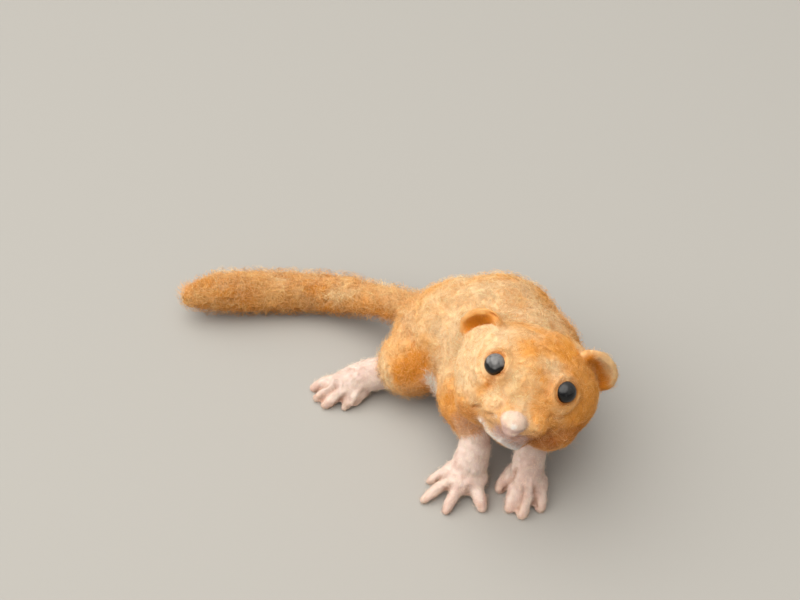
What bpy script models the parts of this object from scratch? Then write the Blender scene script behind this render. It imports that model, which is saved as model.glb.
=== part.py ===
"""Hazel dormouse figure: needle-felted wool over a wire core, with pink wrapped hands and
feet and glass bead eyes, crouching and looking up.

Run it with blender --background --python part.py, or from Blender's text editor.

Sizes are in millimetres and turned to metres at the end. +Z is up, the animal looks along
-Y, and its own left is at +X. The floor is z = 0.
"""

import math

import bmesh
import bpy
from mathutils import Matrix, Vector

MM = 0.001
GAP = 0.3  # between neighbouring pieces, and what a piece is grown by before it cuts another
SNAP = 0.03  # a point this close to the floor is put on it

# Driving sizes
EYE_DIAMETER = 4.1
HEAD_WIDTH = 28.2
TORSO_RADIUS = 14.5
FINGER_RADIUS = 1.05
TOE_RADIUS = 0.95
EAR_WIDTH = 11.2
EAR_HEIGHT = 7.8
EAR_THICKNESS = 2.6

# How fine each piece is before it is thinned out, and how many triangles it may keep
BODY_VOXEL, BODY_ROUNDS, BODY_TRIANGLES = 0.5, 8, 4200
CELL_VOXEL, CELL_ROUNDS, CELL_TRIANGLES = 1.0, 2, 300
PAW_VOXEL, PAW_ROUNDS, PAW_TRIANGLES = 0.28, 3, 760
EAR_VOXEL, EAR_ROUNDS, EAR_TRIANGLES = 0.28, 4, 340
NOSE_VOXEL, NOSE_ROUNDS, NOSE_TRIANGLES = 0.25, 3, 260

# The head's place and turn
HEAD_CENTRE = Vector((23.8, -45.6, 23.8))
HEAD_YAW, HEAD_PITCH, HEAD_ROLL = -13.5, 23.7, 12.6
HEAD_FRAME = (
    Matrix.Translation(HEAD_CENTRE)
    @ Matrix.Rotation(math.radians(HEAD_YAW), 4, "Z")
    @ Matrix.Rotation(math.radians(-HEAD_PITCH), 4, "X")
    @ Matrix.Rotation(math.radians(HEAD_ROLL), 4, "Y")
)
STANCE = Matrix.Identity(4)

# Named places on the head, in its own frame: x to its left, -y out along the snout, z up
EYE_SPOT = Vector((6.7, -9.0, 5.2))
EAR_SPOT = Vector((11.5, 1.7, 6.7))
MUZZLE = Vector((0.0, -9.8, -2.6))
NOSE_SPOT = Vector((0.0, -14.6, -1.4))
NOSTRIL = Vector((1.05, -16.5, -2.7))
CHIN = Vector((0.2, -8.8, -6.5))
JAW = Vector((0.0, -9.9, -4.9))
MOUTH = [(-6.5, -9.4, -4.7), (-4.5, -12.0, -4.0), (-2.4, -13.8, -4.0), (0.0, -14.4, -4.4)]
MOUTH_RADIUS = 0.42

# What each piece is made of, as colour and roughness
APRICOT = ((0.66, 0.34, 0.11, 1.0), 0.9)
GINGER = ((0.56, 0.25, 0.07, 1.0), 0.9)
PINK = ((0.66, 0.45, 0.37, 1.0), 0.85)
GLASS_BLACK = ((0.01, 0.01, 0.012, 1.0), 0.06)


def material(name, look):
    """A plain material of that colour and roughness, made once."""
    found = bpy.data.materials.get(name)
    if found:
        return found
    made = bpy.data.materials.new(name)
    made.use_nodes = True
    shader = made.node_tree.nodes["Principled BSDF"]
    shader.inputs["Base Color"].default_value = look[0]
    shader.inputs["Roughness"].default_value = look[1]
    shader.inputs["Metallic"].default_value = 0.0
    made.diffuse_color = look[0]
    return made


def add_ball(bm, centre, radii, frame=STANCE, turn=(0.0, 0.0, 0.0), detail=3):
    """An ellipsoid, placed in a frame and turned by degrees about x, y and z."""
    spin = Matrix.Identity(4)
    for axis, degrees in zip("ZYX", reversed(turn)):
        spin = spin @ Matrix.Rotation(math.radians(degrees), 4, axis)
    place = frame @ Matrix.Translation(Vector(centre)) @ spin @ Matrix.Diagonal((*radii, 1.0))
    bmesh.ops.create_icosphere(bm, subdivisions=detail, radius=1.0, matrix=place)


def smooth_path(stations, steps=5):
    """Points and radii along a Catmull-Rom curve through the stations."""
    rows = [Vector((*point, radius)) for point, radius in stations]
    rows = [2 * rows[0] - rows[1], *rows, 2 * rows[-1] - rows[-2]]
    found = []
    for a, b, c, d in zip(rows, rows[1:], rows[2:], rows[3:]):
        for step in range(steps):
            t = step / steps
            found.append(
                0.5 * (2 * b + (c - a) * t + (2 * a - 5 * b + 4 * c - d) * t**2
                       + (3 * b - a - 3 * c + d) * t**3)
            )
    found.append(rows[-2])
    return [(Vector(row[:3]), row[3]) for row in found]


def add_limb(bm, stations, sides=16):
    """A tapering round limb through the stations: cones with a ball at every joint."""
    path = smooth_path(stations)
    for point, radius in path:
        bmesh.ops.create_icosphere(bm, subdivisions=2, radius=radius, matrix=Matrix.Translation(point))
    for (start, wide), (end, narrow) in zip(path, path[1:]):
        along = end - start
        turn = along.to_track_quat("Z", "Y").to_matrix().to_4x4()
        place = Matrix.Translation((start + end) / 2) @ turn
        bmesh.ops.create_cone(
            bm, cap_ends=True, segments=sides, radius1=wide, radius2=narrow,
            depth=along.length, matrix=place,
        )


def new_object(name, bm, collection):
    """An object made of the bmesh, which it frees."""
    mesh = bpy.data.meshes.new(name)
    bm.to_mesh(mesh)
    bm.free()
    made = bpy.data.objects.new(name, mesh)
    collection.objects.link(made)
    return made


def baked(obj):
    """Replaces an object's modifiers with the mesh that they make."""
    bpy.context.view_layer.update()
    graph = bpy.context.evaluated_depsgraph_get()
    made = bpy.data.meshes.new_from_object(obj.evaluated_get(graph))
    obj.modifiers.clear()
    old, obj.data = obj.data, made
    bpy.data.meshes.remove(old)
    return obj


def felted(obj, voxel, rounds, triangles):
    """Fuses an object's overlapping shapes into one closed, softly blended body."""
    remesh = obj.modifiers.new("fuse", "REMESH")
    remesh.mode = "VOXEL"
    remesh.voxel_size = voxel
    soften = obj.modifiers.new("soften", "SMOOTH")
    soften.factor = 0.5
    soften.iterations = rounds
    baked(obj)
    count = sum(len(face.vertices) - 2 for face in obj.data.polygons)
    thin = obj.modifiers.new("thin", "DECIMATE")
    thin.ratio = min(1.0, triangles / count)
    thin.use_collapse_triangulate = True
    return largest(baked(obj))


def boolean(obj, other, operation):
    """Joins, cuts or keeps what is common, and bakes the result."""
    change = obj.modifiers.new(operation.lower(), "BOOLEAN")
    change.operation = operation
    change.solver = "EXACT"
    change.object = other
    return baked(obj)


def level_with_floor(obj):
    """Cuts away whatever is below the floor and closes the cut with a flat face."""
    bm = bmesh.new()
    bm.from_mesh(obj.data)
    everything = bm.verts[:] + bm.edges[:] + bm.faces[:]
    bmesh.ops.bisect_plane(
        bm, geom=everything, dist=SNAP, plane_co=(0, 0, 0), plane_no=(0, 0, 1), clear_inner=True
    )
    for vert in bm.verts:
        if vert.co.z < SNAP:
            vert.co.z = 0.0
    rim = [edge for edge in bm.edges if edge.is_boundary]
    bmesh.ops.holes_fill(bm, edges=rim, sides=0)
    bmesh.ops.triangulate(bm, faces=bm.faces)
    bmesh.ops.recalc_face_normals(bm, faces=bm.faces)
    bm.to_mesh(obj.data)
    bm.free()
    return obj


def largest(obj):
    """Keeps only the largest closed surface of an object."""
    bm = bmesh.new()
    bm.from_mesh(obj.data)
    bmesh.ops.remove_doubles(bm, verts=bm.verts, dist=0.0005)
    bmesh.ops.triangulate(bm, faces=bm.faces)
    left, islands = set(bm.faces), []
    while left:
        island, edge = set(), [left.pop()]
        while edge:
            face = edge.pop()
            island.add(face)
            near = {f for side in face.edges for f in side.link_faces} & left
            left -= near
            edge.extend(near)
        islands.append(island)
    best = max(islands, key=lambda faces: sum(face.calc_area() for face in faces))
    spare = [face for face in bm.faces if face not in best]
    bmesh.ops.delete(bm, geom=spare, context="FACES")
    bmesh.ops.recalc_face_normals(bm, faces=bm.faces)
    bm.to_mesh(obj.data)
    bm.free()
    return obj


def copy_of(obj, name, collection):
    made = obj.copy()
    made.data = obj.data.copy()
    made.name = name
    collection.objects.link(made)
    return made


def grown(obj, name, cutters):
    """A copy of an object that stands out from it by GAP on every side."""
    made = copy_of(obj, name, cutters)
    swell = made.modifiers.new("swell", "DISPLACE")
    swell.strength = GAP
    swell.mid_level = 0.0
    return baked(made)


def cell(name, cutters, shape):
    """A coarse cutter: one ball, a disc across an axis, or a limb through stations."""
    bm = bmesh.new()
    if shape[0] == "disc":
        _, centre, axis, radii = shape
        turn = axis.to_track_quat("Z", "Y").to_matrix().to_4x4()
        add_ball(bm, (0, 0, 0), radii, Matrix.Translation(centre) @ turn, detail=3)
        return new_object(name, bm, cutters)
    if shape[0] == "ball":
        _, centre, radii, turn = shape
        add_ball(bm, centre, radii, turn=turn, detail=2)
        return new_object(name, bm, cutters)
    add_limb(bm, shape[1])
    return felted(new_object(name, bm, cutters), CELL_VOXEL, CELL_ROUNDS, CELL_TRIANGLES)


def half_space(name, cutters, point, normal, reach=60.0):
    """A large box that fills the side of a plane that its normal points to."""
    bm = bmesh.new()
    turn = Vector(normal).to_track_quat("Z", "Y").to_matrix().to_4x4()
    place = Matrix.Translation(point) @ turn @ Matrix.Translation((0.0, 0.0, reach))
    bmesh.ops.create_cube(bm, size=2 * reach, matrix=place)
    return new_object(name, bm, cutters)


# The torso: a plump crouched body, bent round so that the chest faces -Y
RUMP = Vector((13.2, -22.8, 12.6))
BACK = Vector((20.0, -25.6, 14.0))
SHOULDERS = Vector((23.8, -32.6, 14.8))
NECK_ROOT = Vector((23.6, -38.5, 18.0))
CHEST = Vector((21.0, -40.5, 12.0))
HIP = Vector((4.4, -21.8, 11.6))
BELLY = Vector((12.5, -31.0, 9.0))
NAPE = 9.0  # how far along the line from shoulders to head the head begins
NECK_RADII = (13.5, 13.5, 4.6)


def add_torso(bm):
    add_ball(bm, RUMP, (13.0, 12.6, 12.4))
    add_ball(bm, BACK, (TORSO_RADIUS, TORSO_RADIUS, 14.2))
    add_ball(bm, SHOULDERS, (13.9, 13.0, 13.0))
    add_ball(bm, HIP, (6.8, 6.8, 6.8))
    add_ball(bm, BELLY, (7.0, 7.0, 7.0))
    add_ball(bm, NECK_ROOT, (11.5, 9.0, 10.0))
    add_ball(bm, CHEST, (9.5, 6.5, 8.0))


# Each leg: where the thigh sits, and the stations of the pink foot
THIGHS = {
    "right": ((2.4, -27.0, 8.4), (7.2, 7.4, 7.4)),
    "left": ((24.8, -17.8, 8.4), (7.4, 7.2, 7.4)),
}
# Each arm: the wool part, from shoulder to where the pink begins
ARMS = {
    "right": [((12.6, -36.4, 13.2), 5.4), ((12.2, -40.6, 12.2), 5.0), ((13.6, -44.6, 10.4), 3.7)],
    "left": [((32.0, -37.0, 13.0), 6.0), ((29.5, -42.5, 11.6), 4.8), ((27.0, -47.0, 10.0), 3.7)],
}
TAIL = [
    ((8.0, -17.6, 12.4), 5.6),
    ((1.6, -13.6, 11.4), 4.5),
    ((-4.4, -9.7, 9.6), 4.1),
    ((-9.0, -6.5, 7.6), 4.4),
    ((-14.0, -4.0, 6.0), 4.7),
    ((-22.5, -2.2, 5.0), 5.0),
    ((-31.5, -2.4, 5.2), 5.2),
    ((-38.5, -2.9, 5.7), 5.1),
    ((-43.0, -3.7, 5.9), 4.5),
    ((-46.2, -4.8, 5.8), 3.1),
    ((-48.3, -6.0, 5.7), 1.1),
]


def add_head(bm):
    half = HEAD_WIDTH / 2
    add_ball(bm, (0, 0, 0), (half, 12.5, 11.0), HEAD_FRAME, detail=4)
    for side in (-1, 1):
        add_ball(bm, (side * 6.5, -4.0, -3.8), (5.9, 5.9, 5.8), HEAD_FRAME)
        add_ball(bm, (side * 3.4, -11.6, -2.0), (3.1, 3.2, 2.7), HEAD_FRAME)
    add_ball(bm, MUZZLE, (5.8, 5.6, 4.0), HEAD_FRAME)
    add_ball(bm, (0, -5.0, 3.6), (7.4, 6.6, 6.2), HEAD_FRAME)
    add_ball(bm, JAW, (4.8, 4.2, 2.7), HEAD_FRAME)
    add_ball(bm, CHIN, (4.4, 4.0, 2.7), HEAD_FRAME)


def add_eyelids(bm):
    """A soft ring of wool round each eye."""
    for side in (-1, 1):
        spot = Vector((side * EYE_SPOT.x, EYE_SPOT.y, EYE_SPOT.z))
        turn = spot.to_track_quat("Z", "Y").to_matrix().to_4x4()
        ring = HEAD_FRAME @ Matrix.Translation(spot * 1.005) @ turn
        points = 20
        for k in range(points):
            angle = 2 * math.pi * k / points
            rim = Vector((math.cos(angle), math.sin(angle), 0)) * (EYE_DIAMETER / 2 + 0.7)
            bmesh.ops.create_icosphere(
                bm, subdivisions=2, radius=0.8, matrix=ring @ Matrix.Translation(rim)
            )


def body_wool(parts):
    """All the wool-coloured flesh as one blended body, cut level with the floor."""
    bm = bmesh.new()
    add_torso(bm)
    for centre, radii in THIGHS.values():
        add_ball(bm, centre, radii)
    for stations in ARMS.values():
        add_limb(bm, stations)
    add_limb(bm, TAIL)
    add_head(bm)
    add_eyelids(bm)
    return felted(new_object("torso", bm, parts), BODY_VOXEL, BODY_ROUNDS, BODY_TRIANGLES)


# Each hand: the forearm's stations, the palm, and each finger from knuckle to tip
HANDS = {
    "right": {
        "limb": [((13.4, -43.0, 11.2), 3.0), ((14.8, -47.0, 7.6), 3.1), ((13.7, -50.0, 4.2), 3.5)],
        "palm": ((12.6, -51.6, 2.4), (4.8, 4.2, 2.6)),
        "digits": [
            ((9.6, -50.4), (5.6, -51.6)),
            ((9.6, -52.8), (4.4, -56.2)),
            ((11.6, -54.2), (8.8, -58.8)),
            ((14.8, -53.4), (16.0, -58.2)),
        ],
        "fat": (0.95, 1.05, 1.1, 1.25),
    },
    "left": {
        "limb": [
            ((27.4, -46.0, 10.8), 3.0),
            ((25.6, -49.8, 8.2), 3.0),
            ((24.9, -52.0, 4.8), 3.1),
            ((24.8, -54.4, 3.4), 2.5),
        ],
        "palm": ((24.9, -53.2, 2.4), (4.2, 4.3, 2.6)),
        "digits": [
            ((22.8, -50.0), (19.6, -53.4)),
            ((22.8, -54.6), (21.3, -58.2)),
            ((24.6, -55.4), (23.6, -59.6)),
            ((27.0, -54.2), (27.3, -58.0)),
        ],
        "fat": (1.45, 1.35, 1.4, 1.4),
    },
}
FEET = {
    "right": {
        "limb": [
            ((1.0, -26.6, 5.2), 3.4),
            ((-4.6, -26.4, 4.6), 3.4),
            ((-9.4, -27.2, 3.6), 3.2),
            ((-12.6, -27.8, 2.9), 2.4),
        ],
        "palm": ((-10.6, -28.2, 2.3), (4.6, 3.6, 2.5)),
        "digits": [
            ((-13.4, -26.4), (-18.4, -27.1)),
            ((-13.2, -28.6), (-17.6, -29.9)),
            ((-12.2, -29.8), (-15.8, -31.7)),
            ((-9.4, -30.0), (-11.7, -32.5)),
            ((-7.6, -29.2), (-9.6, -31.4)),
        ],
        "fat": (1.45, 1.45, 1.55, 1.15, 1.1),
    },
    "left": {
        "limb": [
            ((26.0, -18.2, 5.2), 3.4),
            ((30.4, -19.4, 4.6), 3.4),
            ((33.2, -22.6, 3.6), 3.4),
            ((34.4, -25.2, 2.9), 2.4),
        ],
        "palm": ((34.2, -24.0, 2.3), (4.4, 4.4, 2.6)),
        "digits": [
            ((31.6, -26.0), (31.0, -29.8)),
            ((33.0, -26.8), (33.6, -31.6)),
            ((34.8, -26.8), (36.4, -31.2)),
            ((36.4, -25.8), (39.0, -29.4)),
            ((37.2, -24.2), (40.6, -26.4)),
        ],
        "fat": (1.2, 1.25, 1.3, 1.25, 1.2),
    },
}


def add_digit(bm, knuckle, tip, radius):
    """A finger or toe that arches from the knuckle and comes down on its tip."""
    start, end = Vector((*knuckle, 0)), Vector((*tip, 0))
    shares = ((0.0, 2.4, 1.0), (0.35, 2.1, 1.0), (0.7, 1.35, 0.95), (0.96, 0.7, 0.72))
    stations = [
        (start.lerp(end, share) + Vector((0, 0, height)), radius * width)
        for share, height, width in shares
    ]
    add_limb(bm, stations, sides=12)


def paw(name, shape, radius, parts, wool):
    """A pink hand or foot with its digits, cut where it enters the wool."""
    bm = bmesh.new()
    add_limb(bm, shape["limb"])
    centre, radii = shape["palm"]
    add_ball(bm, centre, radii)
    for (knuckle, tip), share in zip(shape["digits"], shape["fat"]):
        add_digit(bm, knuckle, tip, radius * share)
    made = felted(new_object(name, bm, parts), PAW_VOXEL, PAW_ROUNDS, PAW_TRIANGLES)
    level_with_floor(made)
    boolean(made, wool, "DIFFERENCE")
    made.data.materials.append(material("pink_wool", PINK))
    return largest(made)


def ear(name, side, parts, wool):
    """A round felted ear, hollowed in front, set on the head at its root."""
    bm = bmesh.new()
    spot = Vector((side * EAR_SPOT.x, EAR_SPOT.y, EAR_SPOT.z))
    lean = Matrix.Rotation(math.radians(side * 50), 4, "Y") @ Matrix.Rotation(math.radians(side * 22), 4, "Z")
    frame = HEAD_FRAME @ Matrix.Translation(spot) @ lean
    add_ball(bm, (0, 0, 0), (EAR_WIDTH / 2, EAR_THICKNESS / 2, EAR_HEIGHT / 2), frame, detail=4)
    made = new_object(name, bm, parts)
    felted(made, EAR_VOXEL, EAR_ROUNDS, EAR_TRIANGLES * 3)
    scoop = bmesh.new()
    add_ball(scoop, (0, -1.9, 0.2), (EAR_WIDTH / 2 - 1.1, 2.3, EAR_HEIGHT / 2 - 1.1), frame, detail=4)
    cutter = new_object("ear_scoop", scoop, wool.users_collection[0])
    boolean(made, cutter, "DIFFERENCE")
    bpy.data.objects.remove(cutter)
    felted(made, EAR_VOXEL, EAR_ROUNDS, EAR_TRIANGLES)
    boolean(made, wool, "DIFFERENCE")
    made.data.materials.append(material("ginger_wool", GINGER))
    return largest(made)


def carve_mouth(body, cutters):
    """The mouth line: a shallow bent groove along the wool, the same on both sides."""
    line = MOUTH + [(-x, y, z) for x, y, z in MOUTH[-2::-1]]
    bm = bmesh.new()
    inside = HEAD_FRAME @ MUZZLE
    for point, radius in smooth_path([(Vector(point), MOUTH_RADIUS) for point in line], 12):
        on_wool = body.ray_cast(inside, HEAD_FRAME @ point - inside)[1]
        bmesh.ops.create_icosphere(
            bm, subdivisions=2, radius=radius, matrix=Matrix.Translation(on_wool)
        )
    groove = felted(new_object("groove", bm, cutters), 0.2, 1, 500)
    boolean(body, groove, "DIFFERENCE")
    bpy.data.objects.remove(groove)


def nose(parts, wool, cutters):
    """The pink nose pad on the tip of the muzzle, with two shallow nostrils."""
    bm = bmesh.new()
    add_ball(bm, NOSE_SPOT, (2.5, 2.2, 2.1), HEAD_FRAME)
    add_ball(bm, NOSE_SPOT + Vector((0.0, 0.1, -1.4)), (1.8, 1.9, 1.5), HEAD_FRAME)
    made = felted(new_object("nose", bm, parts), NOSE_VOXEL, NOSE_ROUNDS, NOSE_TRIANGLES)
    boolean(made, wool, "DIFFERENCE")
    for side in (-1, 1):
        dent = bmesh.new()
        add_ball(dent, (side * NOSTRIL.x, NOSTRIL.y, NOSTRIL.z), (0.5, 0.5, 0.4), HEAD_FRAME, detail=2)
        cutter = new_object("nostril", dent, cutters)
        boolean(made, cutter, "DIFFERENCE")
        bpy.data.objects.remove(cutter)
    made.data.materials.append(material("pink_wool", PINK))
    return largest(made)


def eye(name, side, parts, body, cutters):
    """A glass bead, and its socket in the head."""
    spot = HEAD_FRAME @ Vector((side * EYE_SPOT.x, EYE_SPOT.y, EYE_SPOT.z))
    bm = bmesh.new()
    bmesh.ops.create_uvsphere(
        bm, u_segments=18, v_segments=10, radius=EYE_DIAMETER / 2, matrix=Matrix.Translation(spot)
    )
    made = new_object(name, bm, parts)
    made.data.materials.append(material("black_glass", GLASS_BLACK))
    socket = bmesh.new()
    bmesh.ops.create_uvsphere(
        socket, u_segments=18, v_segments=10, radius=EYE_DIAMETER / 2 + GAP,
        matrix=Matrix.Translation(spot),
    )
    cutter = new_object("socket_" + name, socket, cutters)
    boolean(body, cutter, "DIFFERENCE")
    bpy.data.objects.remove(cutter)
    return made


def part_off(body, name, shape, parts, cutters):
    """Parts a named piece from the body along a cell, with a thin gap between the two."""
    piece = copy_of(body, name, parts)
    if shape[0] == "plane":
        _, point, normal = shape
        inner = half_space("inner", cutters, point, normal)
        outer = half_space("outer", cutters, Vector(point) - Vector(normal) * GAP, normal)
    else:
        inner = cell("inner", cutters, shape)
        outer = grown(inner, "outer", cutters)
    boolean(piece, inner, "INTERSECT")
    boolean(body, outer, "DIFFERENCE")
    for cutter in (inner, outer):
        bpy.data.objects.remove(cutter)
    return largest(piece)


def cells():
    """The order in which the body is parted, each as (name, cell)."""
    found = [("tail", ("limb", [(p, r + 2.6) for p, r in TAIL[1:]]))]
    for side, (centre, radii) in THIGHS.items():
        found.append(("thigh_" + side, ("ball", centre, [r + 0.5 for r in radii], (0, 0, 0))))
    for side, stations in ARMS.items():
        grow = [(p, r + 0.9) for p, r in stations]
        found.append(("arm_" + side, ("limb", grow)))
    axis = (HEAD_CENTRE - SHOULDERS).normalized()
    collar = SHOULDERS + axis * NAPE
    found.append(("head", ("plane", collar, axis)))
    found.append(("neck", ("disc", collar, axis, NECK_RADII)))
    return found


def build():
    """The whole figure, in millimetres."""
    for obj in list(bpy.data.objects):
        bpy.data.objects.remove(obj)
    parts = bpy.data.collections.new("dormouse_figure")
    cutters = bpy.data.collections.new("cutters")
    for collection in (parts, cutters):
        bpy.context.scene.collection.children.link(collection)
    cutters.hide_render = True

    body = level_with_floor(body_wool(parts))
    wool = grown(body, "grown_body", cutters)
    carve_mouth(body, cutters)

    for side in ("right", "left"):
        paw("forepaw_" + side, HANDS[side], FINGER_RADIUS, parts, wool)
        paw("hindfoot_" + side, FEET[side], TOE_RADIUS, parts, wool)
        sign = -1 if side == "right" else 1
        ear("ear_" + side, sign, parts, wool)
    nose(parts, wool, cutters)
    for side, sign in (("right", -1), ("left", 1)):
        eye("eye_" + side, sign, parts, body, cutters)

    for name, shape in cells():
        part_off(body, name, shape, parts, cutters)
    largest(body)
    for name in ("torso", "tail", "thigh_right", "thigh_left", "arm_right", "arm_left", "head", "neck"):
        bpy.data.objects[name].data.materials.append(material("apricot_wool", APRICOT))
    for obj in list(cutters.objects):
        bpy.data.objects.remove(obj)
    return parts


def settle(parts):
    """Turns millimetres to metres, with the origin under the middle of the whole box."""
    corners = [v.co for obj in parts.objects for v in obj.data.vertices]
    low = Vector([min(c[k] for c in corners) for k in range(3)])
    high = Vector([max(c[k] for c in corners) for k in range(3)])
    middle = Vector(((low.x + high.x) / 2, (low.y + high.y) / 2, low.z))
    place = Matrix.Scale(MM, 4) @ Matrix.Translation(-middle)
    for obj in parts.objects:
        obj.data.transform(place)
        obj.data.shade_smooth()
        obj.data.set_sharp_from_angle(angle=math.radians(50))
    print("origin is at", [round(x, 2) for x in middle], "of the design frame, in mm")


settle(build())
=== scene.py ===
# %% [markdown]
# # A needle-felted dormouse
# The real figure is a handful of sheep's wool, jabbed with a barbed needle until it holds its
# shape. It has three finishes: loose apricot wool on the body, tight pink wool on the hands,
# feet and nose, and two black glass beads for eyes. This file dresses the plain solids of the
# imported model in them: one felted skin over all the flesh, then tens of thousands of fibres.

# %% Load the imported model
import itertools
import math

import bmesh
import bpy
import numpy as np
from mathutils import Matrix, Vector
from mathutils.bvhtree import BVHTree


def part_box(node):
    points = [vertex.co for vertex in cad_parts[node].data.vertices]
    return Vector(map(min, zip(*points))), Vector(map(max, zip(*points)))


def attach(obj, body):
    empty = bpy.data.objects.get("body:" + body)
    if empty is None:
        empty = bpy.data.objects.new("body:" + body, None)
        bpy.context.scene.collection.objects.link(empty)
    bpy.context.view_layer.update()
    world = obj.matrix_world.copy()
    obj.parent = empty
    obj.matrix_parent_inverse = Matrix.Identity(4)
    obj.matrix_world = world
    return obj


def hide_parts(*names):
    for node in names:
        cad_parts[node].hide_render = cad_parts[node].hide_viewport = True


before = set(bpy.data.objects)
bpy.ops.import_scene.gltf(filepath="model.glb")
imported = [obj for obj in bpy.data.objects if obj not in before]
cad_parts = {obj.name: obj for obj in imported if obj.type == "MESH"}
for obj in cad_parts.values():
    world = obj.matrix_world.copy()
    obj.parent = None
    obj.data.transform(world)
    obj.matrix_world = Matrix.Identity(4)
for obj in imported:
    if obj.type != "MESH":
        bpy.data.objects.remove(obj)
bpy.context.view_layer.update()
MM = 0.001  # the scene is in metres, and the sizes below are in millimetres

# %% [markdown]
# Some small helpers come first. Colours are picked on screen as sRGB hex values, but a shader
# works in linear light, so one function turns them. Another adds a shader node together with
# its settings and its links, which keeps each material short enough to read in one go. The rest
# make meshes and objects, and move values between a mesh and rows of numbers.

# %% Helpers for colours, shader nodes, meshes and objects
def linear(hex_colour):
    """Linear red, green and blue of an sRGB colour such as "E3A45C"."""
    parts = np.array([int(hex_colour[k:k + 2], 16) / 255 for k in (0, 2, 4)])
    return np.where(parts <= 0.04045, parts / 12.92, ((parts + 0.055) / 1.055) ** 2.4)


def add_node(tree, kind, settings=(), links=()):
    """Adds a node. Settings and links are pairs of a property or socket and its value or source.

    A source is an output, or a node whose first output is meant.
    """
    node = tree.nodes.new("ShaderNode" + kind)
    for name, value in dict(settings).items():
        if isinstance(name, int) or name in node.inputs:
            node.inputs[name].default_value = value
        else:
            setattr(node, name, value)
    for name, source in dict(links).items():
        output = source.outputs[0] if isinstance(source, bpy.types.Node) else source
        tree.links.new(output, node.inputs[name])
    return node


def new_material(name):
    """A material with no nodes yet, and its tree."""
    made = bpy.data.materials.new(name)
    made.use_nodes = True
    made.node_tree.nodes.clear()
    return made, made.node_tree


def mesh_from(bm, name):
    """A finished bmesh as a mesh of that name."""
    mesh = bpy.data.meshes.new(name)
    bm.to_mesh(mesh)
    bm.free()
    return mesh


def placed(name, data):
    """An object that holds the data, put into the scene."""
    made = bpy.data.objects.new(name, data)
    bpy.context.scene.collection.objects.link(made)
    return made


def rows_of(items, what, width, kind=np.float32):
    """One value of every vertex, edge, face or corner, as rows of that width."""
    flat = np.empty(len(items) * width, kind)
    items.foreach_get(what, flat)
    return flat.reshape(-1, width)


def fill(items, what, rows, kind=np.float32):
    """Writes such rows back."""
    items.foreach_set(what, np.asarray(rows, kind).ravel())


def centre(node):
    """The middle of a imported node's box, in millimetres."""
    low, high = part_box(node)
    return (low + high) / 2 / MM


# %% [markdown]
# The camera stands where the photographer did: in front of the figure, looking down at 45
# degrees. Its place is given from the point between the eyes, because the eyes are what the
# picture is framed on, and they are known to a fraction of a millimetre.

# %% Camera
EYE_MIDDLE = (centre("eye_left") + centre("eye_right")) / 2
CAMERA_FROM_EYES = Vector((-23.45, -145.4, 165.3))
LOOK_DOWN = 45.0  # degrees below level
SENSOR, LENS = 36.0, 54.9  # mm

lens = bpy.data.cameras.new("camera")
lens.sensor_width = SENSOR
lens.lens = LENS
lens.clip_start = 0.005
camera = placed("camera", lens)
camera.location = (EYE_MIDDLE + CAMERA_FROM_EYES) * MM
camera.rotation_euler = (math.radians(90 - LOOK_DOWN), 0, 0)
bpy.context.scene.camera = camera
print("camera at", [round(v, 3) for v in camera.location], "m")

# %% [markdown]
# The floor is a plain pale sheet of matt card. The light is a soft dome that is brightest
# overhead and a little to the left, as below a large window, with one wide round lamp there to
# model the forms. The glass eyes mirror both: a soft grey patch above and darkness below.

# %% Floor and light
FLOOR_REACH = 1.5  # metres each way
CARD, CARD_GRAIN = linear("A5A29C"), 900.0  # its specks in a metre
DOME_LOW, DOME_HIGH = 0.36, 1.95
DOME_TOWARDS = Vector((-0.50, 0.05, 0.86)).normalized()
DOME_EDGE = (0.46, 0.86)  # the cosines between which the bright part fades
KEY_FROM = Vector((-0.19, -0.06, 0.44))
KEY_SIZE, KEY_POWER = 0.95, 2.3

bm = bmesh.new()
bmesh.ops.create_grid(bm, x_segments=1, y_segments=1, size=FLOOR_REACH)
floor = placed("floor", mesh_from(bm, "floor"))
card, tree = new_material("matt_pale_card")
speck = add_node(tree, "TexNoise", {"Scale": CARD_GRAIN, "Detail": 2.0})
raised = add_node(tree, "Bump", {"Strength": 0.15, "Distance": 0.1 * MM}, {"Height": speck})
shade = add_node(tree, "BsdfPrincipled", {"Base Color": (*CARD, 1), "Roughness": 0.9},
                 {"Normal": raised})
add_node(tree, "OutputMaterial", (), {"Surface": shade})
floor.data.materials.append(card)

world = bpy.data.worlds.new("soft_dome")
world.use_nodes = True
tree = world.node_tree
tree.nodes.clear()
sky = add_node(tree, "TexCoord")
aim = add_node(tree, "VectorMath", {"operation": "DOT_PRODUCT", 1: DOME_TOWARDS},
               {0: sky.outputs["Generated"]})
level = add_node(tree, "MapRange",
                 {"interpolation_type": "SMOOTHSTEP", "From Min": DOME_EDGE[0],
                  "From Max": DOME_EDGE[1], "To Min": DOME_LOW, "To Max": DOME_HIGH},
                 {"Value": aim.outputs["Value"]})
glow = add_node(tree, "Background", {"Color": (1.0, 0.985, 0.96, 1)}, {"Strength": level})
add_node(tree, "OutputWorld", (), {"Surface": glow})
bpy.context.scene.world = world

lamp = bpy.data.lights.new("window", "AREA")
lamp.shape = "DISK"
lamp.size = KEY_SIZE
lamp.energy = KEY_POWER
lamp.color = (1.0, 0.97, 0.92)
window = placed("window", lamp)
window.location = EYE_MIDDLE * MM + KEY_FROM
window.rotation_euler = (-KEY_FROM).to_track_quat("-Z", "Y").to_euler()
bpy.context.scene.view_settings.view_transform = "Standard"
print("the window is", round(KEY_FROM.length, 2), "m from the eyes")

# %% [markdown]
# The marks on the face are given in the head's own frame: x to the animal's left, minus y out
# along the snout and z up through the crown. The frame hangs on the point between the eyes, and
# the head's turn is the same three angles that the solids were built with. Each ear has a frame
# of its own on that: x along the ear, minus y out of its cup, z up it.

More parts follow.
